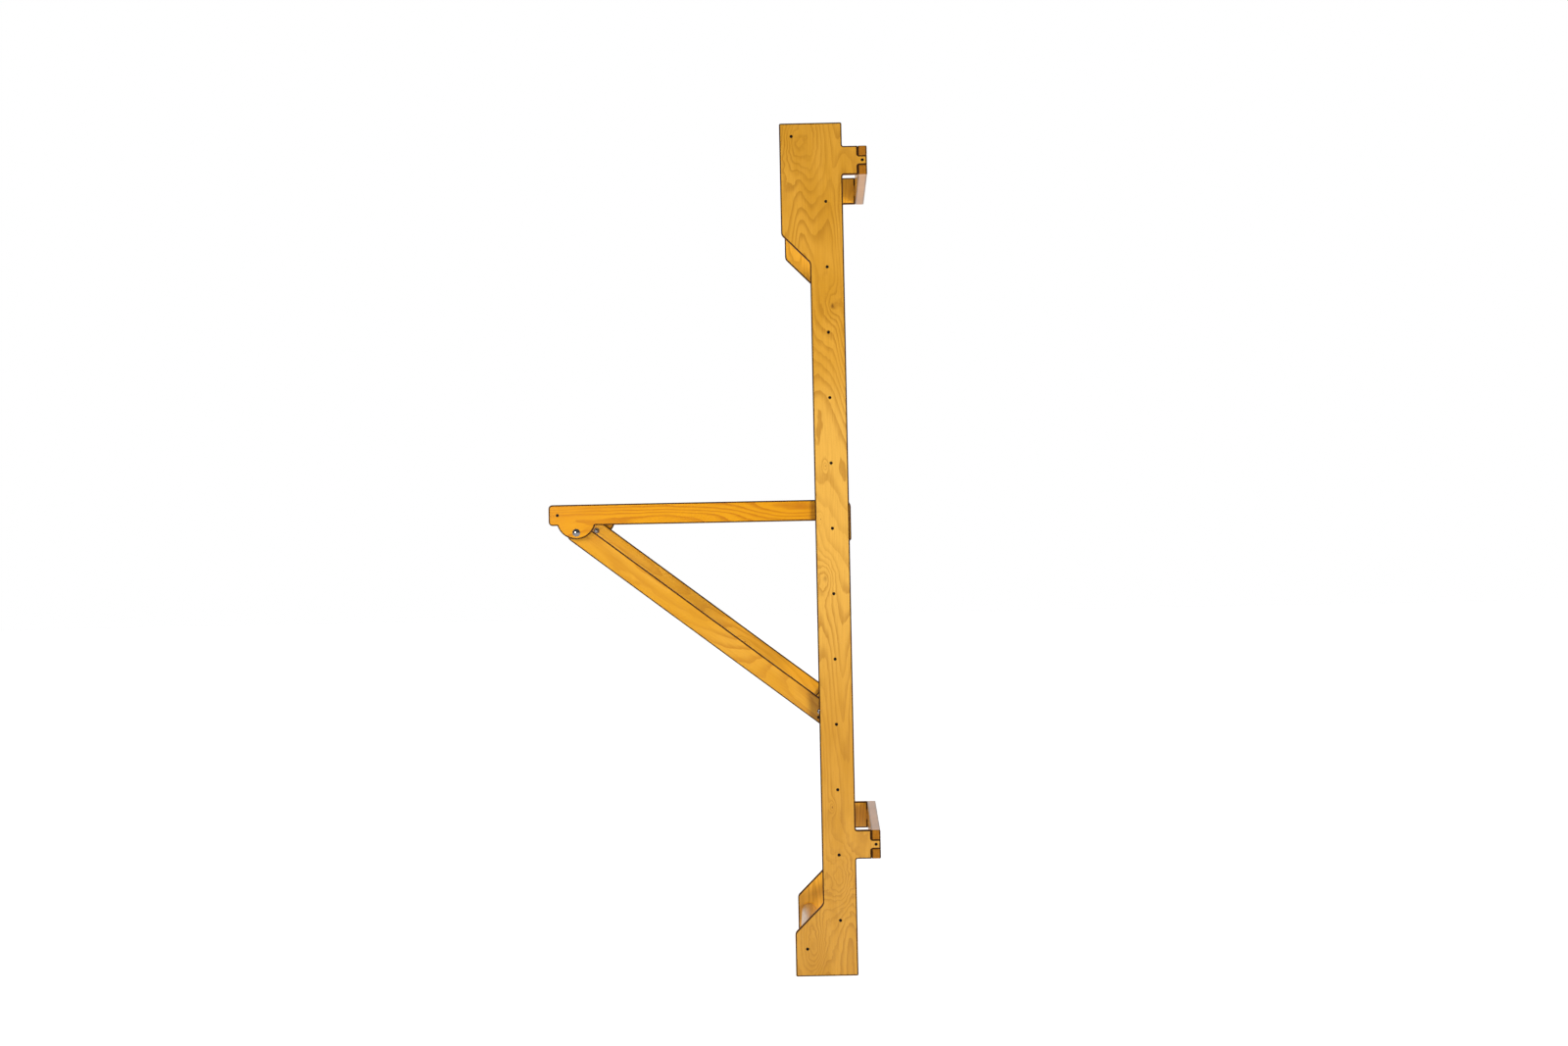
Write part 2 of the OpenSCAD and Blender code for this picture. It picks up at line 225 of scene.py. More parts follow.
def newGroup(name, inputs, outputs):
    group = bpy.data.node_groups.new(name, "ShaderNodeTree")
    for socketName, kind, value in inputs:
        socket = group.interface.new_socket(name=socketName, in_out="INPUT", socket_type=kind)
        if value is not None:
            socket.default_value = value
    for socketName, kind in outputs:
        group.interface.new_socket(name=socketName, in_out="OUTPUT", socket_type=kind)
    start = group.nodes.new("NodeGroupInput").outputs
    end = group.nodes.new("NodeGroupOutput").inputs
    return group, start, end


def useGroup(tree, group, inputs):
    made = tree.nodes.new("ShaderNodeGroup")
    made.node_tree = group
    feed(tree, made, inputs)
    return made.outputs


# ---- shader groups that the wooden pieces share ----
# board space is in metres: x runs along the grain, y across it, z through the board from its middle
# where a noise has three numbers, they are its waves to the metre along x, y and z

knotShape = {"squash": (0.45, 1, 0), "wobbleScale": 60, "wobble": 0.35, "heart": (0.44, 0.14)}


def makeKnotGroup():
    # a knot: growth lines bend round it and its heart is dark
    group, start, end = newGroup("knot", [
        ("Board", "NodeSocketVector", None), ("Place", "NodeSocketVector", None),
        ("Reach", "NodeSocketFloat", 0.02), ("Strength", "NodeSocketFloat", 1.0)],
        [("Bend", "NodeSocketFloat"), ("Heart", "NodeSocketFloat")])
    ends = {0: start["Board"], 1: start["Place"]}
    away = addNode(group, "VectorMath", ends, operation="SUBTRACT").outputs[0]
    flat = stretch(group, away, knotShape["squash"])
    wobble = noise(group, away, knotShape["wobbleScale"], 1)
    length = addNode(group, "VectorMath", {0: flat}, operation="LENGTH").outputs["Value"]
    ratio = maths(group, "DIVIDE", length, start["Reach"])
    ratio = maths(group, "MULTIPLY_ADD", wobble, knotShape["wobble"], ratio)
    minusSquare = maths(group, "MULTIPLY", ratio, maths(group, "MULTIPLY", ratio, -1.0))
    falling = maths(group, "POWER", math.e, minusSquare)
    group.links.new(maths(group, "MULTIPLY", falling, start["Strength"]), end["Bend"])
    group.links.new(steps(group, ratio, *knotShape["heart"]), end["Heart"])
    return group


figureShape = {"hills": (1.5, 9.5, 0), "ripple": (16, 55, 0), "strength": (5, 14, 0), "fibre": (14, 620, 0),
               "pores": (130, 1500, 0), "patches": (5.5, 17, 0), "rippleShare": 0.8, "bendShare": 3.2}


def makeFigureGroup():
    # veneer figure: nested growth lines, fibres, pores and broad soft patches
    group, start, end = newGroup("veneerFigure", [
        ("Board", "NodeSocketVector", None), ("Seed", "NodeSocketFloat", 0.0),
        ("Bend", "NodeSocketFloat", 0.0), ("Lines", "NodeSocketFloat", 16.0)],
        [("Growth", "NodeSocketFloat"), ("Fibre", "NodeSocketFloat"),
         ("Pores", "NodeSocketFloat"), ("Patches", "NodeSocketFloat")])
    board, seed = start["Board"], start["Seed"]

    def waves(part, detail, rough):
        return noise(group, stretch(group, board, figureShape[part]), 1, detail, rough, seed)

    phase = maths(group, "MULTIPLY", waves("hills", 1.2, 0.35), start["Lines"])
    phase = maths(group, "MULTIPLY_ADD", waves("ripple", 2, 0.5), figureShape["rippleShare"], phase)
    phase = maths(group, "MULTIPLY_ADD", start["Bend"], figureShape["bendShare"], phase)
    tooth = maths(group, "FRACT", phase)
    late = steps(group, tooth, 0.35, 0.93)
    fade = steps(group, tooth, 0.93, 1.0, 1.0, 0.0)
    strength = steps(group, waves("strength", 1, 0.5), 0.3, 0.7, 0.35, 1.0)
    growth = maths(group, "MULTIPLY", maths(group, "MULTIPLY", late, fade), strength)
    group.links.new(growth, end["Growth"])
    group.links.new(waves("fibre", 3, 0.6), end["Fibre"])
    group.links.new(steps(group, waves("pores", 1, 0.5), 0.66, 0.76), end["Pores"])
    group.links.new(waves("patches", 2.5, 0.55), end["Patches"])
    return group


layerShape = {"waverScale": 30, "waver": 0.5 * mm, "blotch": (90, 90, 700), "dark": (0.35, 0.65),
              "glue": (0.16, 0.05), "arris": (4.4 * mm, 2.2 * mm), "count": 17}


def makeLayersGroup():
    # the cut edge of plywood: end-grain layers darker than long-grain ones, with glue lines between
    group, start, end = newGroup("plyLayers", [
        ("Board", "NodeSocketVector", None), ("Half", "NodeSocketFloat", 0.012),
        ("Layer", "NodeSocketFloat", 0.0014), ("Seed", "NodeSocketFloat", 0.0)],
        [("Dark", "NodeSocketFloat"), ("Glue", "NodeSocketFloat"), ("Arris", "NodeSocketFloat")])
    apart = addNode(group, "SeparateXYZ", {0: start["Board"]}).outputs
    waver = noise(group, start["Board"], layerShape["waverScale"], 1, 0.5, start["Seed"])
    depth = maths(group, "MULTIPLY_ADD", waver, layerShape["waver"], apart["Z"])
    count = maths(group, "DIVIDE", depth, start["Layer"])
    # 100 layers further on, so that the count is never below zero
    saw = maths(group, "PINGPONG", maths(group, "ADD", count, 100.0), 1.0)
    blotch = noise(group, stretch(group, start["Board"], layerShape["blotch"]), 1, 2, 0.6, start["Seed"])
    blotch = steps(group, blotch, 0.25, 0.6, 0.45, 1.0)
    dark = maths(group, "MULTIPLY", steps(group, saw, *layerShape["dark"]), blotch)
    group.links.new(dark, end["Dark"])
    line = maths(group, "ABSOLUTE", maths(group, "SUBTRACT", saw, 0.5))
    group.links.new(steps(group, line, *layerShape["glue"]), end["Glue"])
    deep = maths(group, "SUBTRACT", start["Half"], maths(group, "ABSOLUTE", apart["Z"]))
    group.links.new(steps(group, deep, *layerShape["arris"]), end["Arris"])
    return group


wearShape = {"smearScale": 9, "smearShare": 0.6, "scratch": (35, 260, 260), "scratchShare": 0.4}


def makeWearGroup():
    # fingermarks and fine scratches in the varnish, and the soft ripple of the wood under it
    group, start, end = newGroup("varnishMarks", [
        ("Place", "NodeSocketVector", None), ("Base", "NodeSocketFloat", 0.3),
        ("Spread", "NodeSocketFloat", 0.12)],
        [("Roughness", "NodeSocketFloat"), ("Ripple", "NodeSocketFloat")])
    smear = noise(group, start["Place"], wearShape["smearScale"], 3, 0.6)
    smear = maths(group, "MULTIPLY", smear, wearShape["smearShare"])
    scratch = noise(group, stretch(group, start["Place"], wearShape["scratch"]), 1, 2, 0.6)
    both = maths(group, "MULTIPLY_ADD", scratch, wearShape["scratchShare"], smear)
    centred = maths(group, "SUBTRACT", both, 0.5)
    rough = maths(group, "MULTIPLY_ADD", centred, start["Spread"], start["Base"])
    group.links.new(rough, end["Roughness"])
    group.links.new(both, end["Ripple"])
    return group


knotGroup = makeKnotGroup()
figureGroup = makeFigureGroup()
layersGroup = makeLayersGroup()
wearGroup = makeWearGroup()
print("shader groups made")


# ---- materials ----

def newMaterial(name):
    made = bpy.data.materials.new(name)
    made.use_nodes = True
    tree = made.node_tree
    tree.nodes.clear()
    out = tree.nodes.new("ShaderNodeOutputMaterial")
    shader = tree.nodes.new("ShaderNodeBsdfPrincipled")
    tree.links.new(shader.outputs[0], out.inputs[0])
    return made, tree, shader


def boardSpace(tree, spot, turn):
    # from the object's own place to board space: moved so that spot is the origin, then turned
    place = addNode(tree, "TexCoord").outputs["Object"]
    moved = addNode(tree, "VectorMath", {0: place, 1: spot}, operation="SUBTRACT").outputs[0]
    return addNode(tree, "Mapping", {"Vector": moved, "Rotation": turn}).outputs[0]


# the pale colour in birchLook is painted light: it makes the near upright brighter over its middle length,
# where the light falls strongest
birchLook = {"light": colour(190, 134, 32), "dark": colour(146, 92, 12), "patch": colour(204, 148, 48),
             "pale": colour(212, 160, 66), "heart": colour(104, 62, 10),
             "lines": 28, "growth": 0.5, "rough": 0.25}
armLook = {"light": colour(206, 136, 0), "dark": colour(166, 90, 0), "patch": colour(216, 148, 8),
           "heart": colour(110, 60, 2), "lines": 24, "growth": 0.6, "rough": 0.24}
braceLook = {"light": colour(208, 146, 26), "dark": colour(170, 102, 4), "patch": colour(216, 156, 44),
             "heart": colour(80, 42, 4), "lines": 18, "growth": 0.5, "rough": 0.24}
# painted reflection: the rails' cut edges are given much paler colours than the other boards' edges,
# standing in for the white sheen their grazing edges catch; the higher gloss is the varnish's own
railEdgePaintedSheen = {"long": colour(216, 156, 72), "end": colour(176, 113, 40), "glue": colour(150, 96, 34),
                "arris": colour(120, 76, 26), "gloss": 0.35, "rough": 0.32}
edgeLook = {"long": colour(166, 106, 24), "end": colour(112, 66, 8), "glue": colour(56, 28, 4),
            "arris": colour(38, 18, 6), "gloss": 0.1, "rough": 0.62}
toneShape = {"fibre": 0.22, "pores": 0.3, "glue": 0.55, "arris": 0.92}
varnish = {"specular": 0.3, "coat": 0.25, "coatRough": 0.13, "spread": 0.16, "grain": -0.5, "bump": 0.12,
           "rise": 0.6 * mm}


def shaded(look, gain):
    # the same veneer made lighter or darker: partly a different sheet's tone, partly painted light and shade
    # for how the light falls on the piece
    return {key: tuple(part * gain for part in value[:3]) + (1.0,) if isinstance(value, tuple) else value
            for key, value in look.items()}


def veneerMaterial(name, look, spot, turn, seed, knots=(), paler=None):
    made, tree, shader = newMaterial(name)
    board = boardSpace(tree, spot, turn)
    bend, heart = 0.0, 0.0
    for place, reach, strength, dark in knots:
        inputs = {"Board": board, "Place": place, "Reach": reach, "Strength": strength}
        knot = useGroup(tree, knotGroup, inputs)
        bend = maths(tree, "ADD", bend, knot["Bend"])
        heart = maths(tree, "MULTIPLY_ADD", knot["Heart"], dark, heart)
    inputs = {"Board": board, "Seed": seed, "Bend": bend, "Lines": look["lines"]}
    figure = useGroup(tree, figureGroup, inputs)
    growth = maths(tree, "MULTIPLY", figure["Growth"], look["growth"])
    fibre = steps(tree, figure["Fibre"], 0.35, 0.75, 0.0, toneShape["fibre"])
    tone = maths(tree, "ADD", growth, fibre)
    tone = maths(tree, "MULTIPLY_ADD", figure["Pores"], toneShape["pores"], tone)
    ground = blendColours(tree, steps(tree, figure["Patches"], 0.3, 0.7), look["light"], look["patch"])
    if paler:
        # painted light: a brighter length in the middle of the sheet, where the light falls strongest, as
        # (start, full, full, end) along the grain
        along = addNode(tree, "SeparateXYZ", {0: board}).outputs["X"]
        paintedLightShare = maths(tree, "MULTIPLY", steps(tree, along, paler[0], paler[1]),
                     steps(tree, along, paler[2], paler[3], 1.0, 0.0))
        ground = blendColours(tree, paintedLightShare, ground, look["pale"])
    wood = blendColours(tree, tone, ground, look["dark"])
    wood = blendColours(tree, maths(tree, "MINIMUM", heart, 1.0), wood, look["heart"])
    tree.links.new(wood, shader.inputs["Base Color"])
    finishWood(tree, shader, look["rough"], tone)
    coatWood(shader)
    return made


def finishWood(tree, shader, rough, tone):
    # a satin varnish over slightly raised grain
    place = addNode(tree, "TexCoord").outputs["Object"]
    marks = useGroup(tree, wearGroup, {"Place": place, "Base": rough, "Spread": varnish["spread"]})
    tree.links.new(marks["Roughness"], shader.inputs["Roughness"])
    height = maths(tree, "MULTIPLY_ADD", tone, varnish["grain"], marks["Ripple"])
    inputs = {"Strength": varnish["bump"], "Distance": varnish["rise"], "Height": height}
    tree.links.new(addNode(tree, "Bump", inputs).outputs[0], shader.inputs["Normal"])


def coatWood(shader):
    shader.inputs["Specular IOR Level"].default_value = varnish["specular"]
    shader.inputs["Coat Weight"].default_value = varnish["coat"]
    shader.inputs["Coat Roughness"].default_value = varnish["coatRough"]


def edgeMaterial(name, look, spot, turn, seed, thickness):
    made, tree, shader = newMaterial(name)
    board = boardSpace(tree, spot, turn)
    inputs = {"Board": board, "Half": thickness / 2, "Seed": seed, "Layer": thickness / layerShape["count"]}
    layers = useGroup(tree, layersGroup, inputs)
    wood = blendColours(tree, layers["Dark"], look["long"], look["end"])
    glueLine = maths(tree, "MULTIPLY", layers["Glue"], toneShape["glue"])
    wood = blendColours(tree, glueLine, wood, look["glue"])
    arris = maths(tree, "MULTIPLY", layers["Arris"], toneShape["arris"])
    wood = blendColours(tree, arris, wood, look["arris"])
    tree.links.new(wood, shader.inputs["Base Color"])
    finishWood(tree, shader, look["rough"], layers["Dark"])
    shader.inputs["Specular IOR Level"].default_value = look["gloss"]
    return made


dowelLook = {"broad": (3, 42, 42), "fine": (18, 620, 620), "rings": 9, "light": colour(226, 176, 104),
             "dark": colour(176, 118, 52), "rough": 0.36}


def makeDowelWood():
    made, tree, shader = newMaterial("dowelWood")
    place = addNode(tree, "TexCoord").outputs["Object"]
    broad = noise(tree, stretch(tree, place, dowelLook["broad"]), 1, 2, 0.5)
    fine = noise(tree, stretch(tree, place, dowelLook["fine"]), 1, 3, 0.6)
    rings = maths(tree, "FRACT", maths(tree, "MULTIPLY", broad, dowelLook["rings"]))
    tone = maths(tree, "MULTIPLY", steps(tree, rings, 0.4, 0.95), 0.3)
    tone = maths(tree, "ADD", tone, steps(tree, fine, 0.35, 0.75, 0.0, 0.35))
    wood = blendColours(tree, tone, dowelLook["light"], dowelLook["dark"])
    tree.links.new(wood, shader.inputs["Base Color"])
    finishWood(tree, shader, dowelLook["rough"], tone)
    coatWood(shader)
    return made


brightLook = {"marks": (6, 6, 6), "rough": 0.13, "spread": 0.16, "light": colour(158, 160, 164),
              "dull": colour(112, 112, 116)}
blackLook = {"marks": (9, 9, 9), "rough": 0.5, "spread": 0.3, "paint": (0.0015, 0.0015, 0.0015, 1),
             "worn": (0.007, 0.0065, 0.006, 1), "rubbed": (0.55, 0.7), "specular": 0.15}


def steelMarks(tree, look):
    place = stretch(tree, addNode(tree, "TexCoord").outputs["Object"], look["marks"])
    return useGroup(tree, wearGroup, {"Place": place, "Base": look["rough"], "Spread": look["spread"]})


def makeBrightSteel():
    made, tree, shader = newMaterial("brightSteel")
    marks = steelMarks(tree, brightLook)
    dull = blendColours(tree, marks["Ripple"], brightLook["light"], brightLook["dull"])
    tree.links.new(dull, shader.inputs["Base Color"])
    tree.links.new(marks["Roughness"], shader.inputs["Roughness"])
    shader.inputs["Metallic"].default_value = 1
    return made


def makeBlackSteel():
    made, tree, shader = newMaterial("blackSteel")
    marks = steelMarks(tree, blackLook)
    rubbed = steps(tree, marks["Ripple"], *blackLook["rubbed"])
    worn = blendColours(tree, rubbed, blackLook["paint"], blackLook["worn"])
    tree.links.new(worn, shader.inputs["Base Color"])
    tree.links.new(marks["Roughness"], shader.inputs["Roughness"])
    shader.inputs["Specular IOR Level"].default_value = blackLook["specular"]
    return made


dowelWood = makeDowelWood()
brightSteel = makeBrightSteel()
blackSteel = makeBlackSteel()
print("materials made")


# ---- turned pieces and cutters ----

def turned(name, rings, corners):
    # a solid turned on the X axis: a filled circle, then an extrude and a resize for each ring (x, radius)
    bpy.ops.object.select_all(action="DESELECT")
    lastX, lastRadius = rings[0]
    bpy.ops.mesh.primitive_circle_add(vertices=corners, radius=lastRadius, fill_type="NGON",
                                      location=(lastX, 0, 0), rotation=(0, quarterTurn, 0))
    piece = bpy.context.active_object
    piece.name = name
    bpy.ops.object.transform_apply(location=True, rotation=True, scale=True)
    editMode(piece)
    bpy.ops.mesh.select_all(action="SELECT")
    for x, radius in rings[1:]:
        bpy.ops.mesh.extrude_region_move(TRANSFORM_OT_translate={"value": (x - lastX, 0, 0)})
        grow = radius / lastRadius
        bpy.ops.transform.resize(value=(1, grow, grow), center_override=(x, 0, 0))
        lastX, lastRadius = x, radius
    objectMode()
    fixNormals(piece)
    return piece


def copyAt(master, name, spot, side):
    # a copy with its own mesh, turned half round for the left side, its place in the mesh
    piece = bpy.data.objects.new(name, master.data.copy())
    scene.collection.objects.link(piece)
    turn = Matrix.Identity(4) if side > 0 else Matrix.Rotation(2 * quarterTurn, 4, "Z")
    piece.data.transform(Matrix.Translation(spot) @ turn)
    return piece


def joined(pieces, name):
    bpy.ops.object.select_all(action="DESELECT")
    for piece in pieces:
        piece.select_set(True)
    bpy.context.view_layer.objects.active = pieces[0]
    if len(pieces) > 1:
        bpy.ops.object.join()
    pieces[0].name = name
    return pieces[0]


def carve(piece, tool, way="DIFFERENCE"):
    applyModifier(piece, "BOOLEAN", object=tool, operation=way, solver="EXACT")
    bpy.data.objects.remove(tool)


def dressed(piece, *materials):
    piece.data.materials.clear()
    for material in materials:
        piece.data.materials.append(material)
    return piece


# ---- wood screws ----

screw = {"headRadius": 4.0 * mm, "coreRadius": 1.75 * mm, "shankRadius": 1.95 * mm,
         "threadRadius": 2.25 * mm, "tipRadius": 0.25 * mm, "holeTipRadius": 0.3 * mm, "ease": 0.2 * mm,
         "rim": 1.0 * mm, "cone": 2.2 * mm, "tip": 5.0 * mm, "plain": 12 * mm, "pitch": 2.6 * mm,
         "crest": 0.45, "root": 0.6, "sink": 0.8 * mm, "crossReach": 1.35 * mm, "crossWidth": 0.9 * mm,
         "crossDeep": 1.4 * mm, "crossTaper": 0.6, "corners": 24}


def screwHoleTool(length):
    head, shank = screw["headRadius"] + fit, screw["threadRadius"] + fit
    rings = [(screw["sink"] + mm, head), (-screw["rim"], head), (-screw["rim"] - screw["cone"], shank),
             (screw["tip"] - length, shank), (-length, screw["holeTipRadius"])]
    return turned("screwHole", rings, screw["corners"])


def modelScrew(length):
    head, core, pitch = screw["headRadius"], screw["coreRadius"], screw["pitch"]
    rings = [(0, head - screw["ease"]), (-screw["ease"], head), (-screw["rim"], head),
             (-screw["rim"] - screw["cone"], screw["shankRadius"]), (-screw["plain"], screw["shankRadius"])]
    x = screw["plain"]
    while x < length - screw["tip"] - pitch:
        rings += [(-x, core), (-x - screw["crest"] * pitch, screw["threadRadius"]),
                  (-x - screw["root"] * pitch, core)]
        x += pitch
    rings += [(screw["tip"] - length, core), (-length, screw["tipRadius"])]
    piece = turned("screw", rings, screw["corners"])
    bpy.ops.object.select_all(action="DESELECT")
    bpy.ops.mesh.primitive_cube_add(size=screw["crossWidth"], location=(0, 0, 0))
    cross = bpy.context.active_object
    editMode(cross)
    nearFace = square["along"] * screw["crossWidth"] / 2
    for way in (Vector((0, 1, 0)), Vector((0, -1, 0)), Vector((0, 0, 1)), Vector((0, 0, -1))):
        selectWhere(cross, "faces", lambda face, way=way: face.normal.dot(way) > square["along"]
                    and face.calc_center_median().dot(way) > nearFace)
        bpy.ops.mesh.extrude_region_move(TRANSFORM_OT_translate={"value": way * screw["crossReach"]})
    selectWhere(cross, "faces", lambda face: face.normal.x < -square["along"])
    bpy.ops.transform.translate(value=(-screw["crossDeep"], 0, 0))
    bpy.ops.transform.resize(value=(1, screw["crossTaper"], screw["crossTaper"]),
                             center_override=(-screw["crossDeep"], 0, 0))
    objectMode()
    carve(piece, cross)
    return piece


def screwPlaces(node):
    # where the top of each screw's head is, the screws' length, and which side they go in from
    low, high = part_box(node)
    side = sideOf(node)
    headX = high.x if side > 0 else low.x
    if "rung" in node:
        spots = [middle(rung) for rung in rungNodes]
    elif "rail" in node:
        spots = [Vector((0, middle(node).y, middle(rail).z)) for rail in railNodes]
    elif "foot" in node:
        half, centre = halfSize(node), middle(node)
        across = Vector((0, -braceWay.z, braceWay.y))
        reach = (half.z - screw["headRadius"]) / abs(across.z)
        spots = [centre + across * reach, centre - across * reach]
    else:
        spots = [middle(node)]
    return [Vector((headX, spot.y, spot.z)) for spot in spots], high.x - low.x, side


screwNodes = sorted(n for n in frame["nodes"] if "screw" in n)
screwMasters = {}
for screwNode in screwNodes:
    screwSpots, screwLength, screwSide = screwPlaces(screwNode)
    lengthKey = round(screwLength / mm)
    if lengthKey not in screwMasters:
        screwMasters[lengthKey] = modelScrew(screwLength)
    copies = [copyAt(screwMasters[lengthKey], "screw", spot, screwSide) for spot in screwSpots]
    group = dressed(joined(copies, camelName(screwNode)), blackSteel)
    smooth(group, crispAngle)
    settle(group, bodyOf(screwNode), "black_screw", screwNode)
for master in screwMasters.values():
    bpy.data.objects.remove(master)
print("screws modelled:", len(screwNodes), "groups")


# ---- plywood boards ----
# each starts as a copy of its CAD node: the outline of one face is kept, filled, extruded to the board's
# thickness, rounded over all round, and then the pockets and holes are cut

# a knot is (place in board space, reach, how hard it bends the lines, how dark its heart is)
rightUprightKnots = [
    ((0.629, 0.016, 0), 0.021, 1.0, 0.85),
    ((-0.072, -0.016, 0), 0.026, 1.2, 0.35),
    ((0.079, -0.0256, 0), 0.006, 0.9, 0.9),
    ((0.216, -0.0104, 0), 0.007, 0.7, 0.7),
    ((-0.664, -0.0104, 0), 0.008, 1.0, 1.0),
    ((1.05, -0.069, 0), 0.042, 1.5, 0.0),
    ((-0.85, 0.008, 0), 0.042, 2.2, 0.0),
    ((-1.03, -0.058, 0), 0.034, 1.5, 0.0)]
leftUprightKnots = [
    ((-0.31, 0.02, 0), 0.02, 0.9, 0.6),
    ((0.42, -0.02, 0), 0.008, 0.9, 0.8)]
leftBraceKnots = [((-0.12, 0.001, 0), 0.007, 1.0, 1.0)]
wideRound = 3.4 * mm
slimRound = 3.0 * mm
# each piece's gain makes its veneer lighter or darker, the near right pieces darker and the far left ones
# lighter: partly a different sheet's tone, partly painted light and shade for how the light falls on each
# side; turn is the grain's slope in degrees, or the brace's own
boards = {
    # the near upright's paler band is painted light, a brighter middle length where the light falls
    # strongest
    "right_upright": {"look": birchLook, "gain": 0.83, "turn": 90, "seed": 1.3, "round": wideRound,
                      "knots": rightUprightKnots, "paler": (-0.5, -0.05, 0.3, 0.52)},
    "left_upright": {"look": birchLook, "gain": 1.34, "turn": 90, "seed": 6.1, "round": wideRound,
                     "knots": leftUprightKnots},
    "right_arm": {"look": armLook, "gain": 0.78, "turn": 0, "seed": 3.9, "round": wideRound},
    "left_arm": {"look": armLook, "gain": 0.9, "turn": 0, "seed": 17.2, "round": wideRound},
    "right_brace": {"look": braceLook, "gain": 0.78, "turn": "brace", "seed": 21.8, "round": slimRound},
    "left_brace": {"look": braceLook, "gain": 1.05, "turn": "brace", "seed": 26.3, "round": slimRound,
                   "knots": leftBraceKnots},
    "right_foot_cheek": {"look": braceLook, "gain": 0.82, "turn": "brace", "seed": 30.5, "round": slimRound},
    "left_foot_cheek": {"look": braceLook, "gain": 1.0, "turn": "brace", "seed": 34.1, "round": slimRound},
}
rodCorners = 64
rimSlack = 0.4 * mm


def boardTurn(board):
    # the angles that turn the frame's axes to board space
    turn = braceTurn if board["turn"] == "brace" else math.radians(board["turn"])
    lay = Matrix.Rotation(quarterTurn, 4, "Y") @ Matrix.Rotation(turn, 4, "X")
    return tuple((Matrix.Rotation(quarterTurn, 4, "Z") @ lay).to_euler())


def rod(low, high, radius, spot):
    tool = turned("rod", [(low, radius), (high, radius)], rodCorners)
    tool.data.transform(Matrix.Translation((0, spot.y, spot.z)))
    return tool


def pocketTool(dowel, inner, side):
    # the blind pocket for a dowel's end, in the board face that is at x = inner
    deep = abs(halfSize(dowel).x - abs(inner)) + fit
    ends = sorted((inner - side * mm, inner + side * deep))
    return rod(*ends, halfSize(dowel).z + fit, middle(dowel))


def holeTools(node):
    # two rounds of cutters, so that no cutter overlaps another in the same round
    low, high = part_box(node)
    word, side = node.split("_")[0], sideOf(node)
    inner = low.x if side > 0 else high.x
    pockets, holes = [], []
    if "upright" in node:
        pockets = [pocketTool(rung, inner, side) for rung in rungNodes]
        screws = [word + "_rung_screws", word + "_rail_screws"]
    elif "arm" in node:
        pockets.append(pocketTool("pull_up_bar", inner, side))
        holes.append(rod(low.x - mm, high.x + mm, boltRadius["pivot"] + fit, pivotPlace))
        screws = [word + "_bar_screw"]
    else:
        if "brace" in node:
            pockets.append(rod(low.x - mm, high.x + mm, boltRadius["pivot"] + fit, pivotPlace))
        pockets.append(rod(low.x - mm, high.x + mm, boltRadius["foot"] + fit, middle(word + "_foot_bolt")))
        screws = [word + "_foot_screws"]
    for screwNode in screws:
        spots, length, _ = screwPlaces(screwNode)
        master = screwHoleTool(length)
        holes += [copyAt(master, "hole", spot, side) for spot in spots]
        bpy.data.objects.remove(master)
    return pockets, holes


def holeRims(node):
    # the round rims that aren't part of the outline, as (y, z, radius)
    if "upright" in node:
        rims = [(middle(rung), halfSize(rung).z) for rung in rungNodes]
        rims += [(spot, screw["headRadius"]) for spot in screwPlaces("right_rail_screws")[0]]
    else:
        word = node.split("_")[0]
        rims = [(middle("pull_up_bar"), halfSize("pull_up_bar").z), (pivotPlace, boltRadius["pivot"]),
                (middle(word + "_foot_bolt"), boltRadius["foot"])]
        rims += [(spot, screw["headRadius"]) for spot in screwPlaces(word + "_foot_screws")[0]]
    return [(spot.y, spot.z, radius + rimSlack) for spot, radius in rims]


def weldedCopy(node):
    # the CAD node as a piece of its own, left in edit mode with its doubled corners welded
    piece = bpy.data.objects.new(camelName(node), frame["nodes"][node].data.copy())
    scene.collection.objects.link(piece)
    makeActive(piece)
    bpy.ops.mesh.customdata_custom_splitnormals_clear()
    editMode(piece, "EDGE")
    bpy.ops.mesh.select_all(action="SELECT")
    bpy.ops.mesh.remove_doubles(threshold=weldGap["frame"])
    return piece


def betweenFaceAndEdge(edge):
    # true where one of a board's two faces meets its cut edge
    tilts = sorted(abs(face.normal.x) for face in edge.link_faces)
    return len(tilts) == 2 and tilts[0] < square["across"] and tilts[1] > square["along"]


def keepOutline(piece, faceX, rims):
    # leaves only the edges round the face at faceX, and fills that outline
    def spare(edge):
        ends = [vert.co for vert in edge.verts]
        if any(abs(end.x - faceX) > weldGap["frame"] for end in ends) or not betweenFaceAndEdge(edge):
            return True
        return any(all(math.hypot(end.y - y, end.z - z) < radius for end in ends) for y, z, radius in rims)

    selectWhere(piece, "edges", spare)
    bpy.ops.mesh.delete(type="EDGE")
    bpy.ops.mesh.select_all(action="SELECT")
    bpy.ops.mesh.edge_face_add()


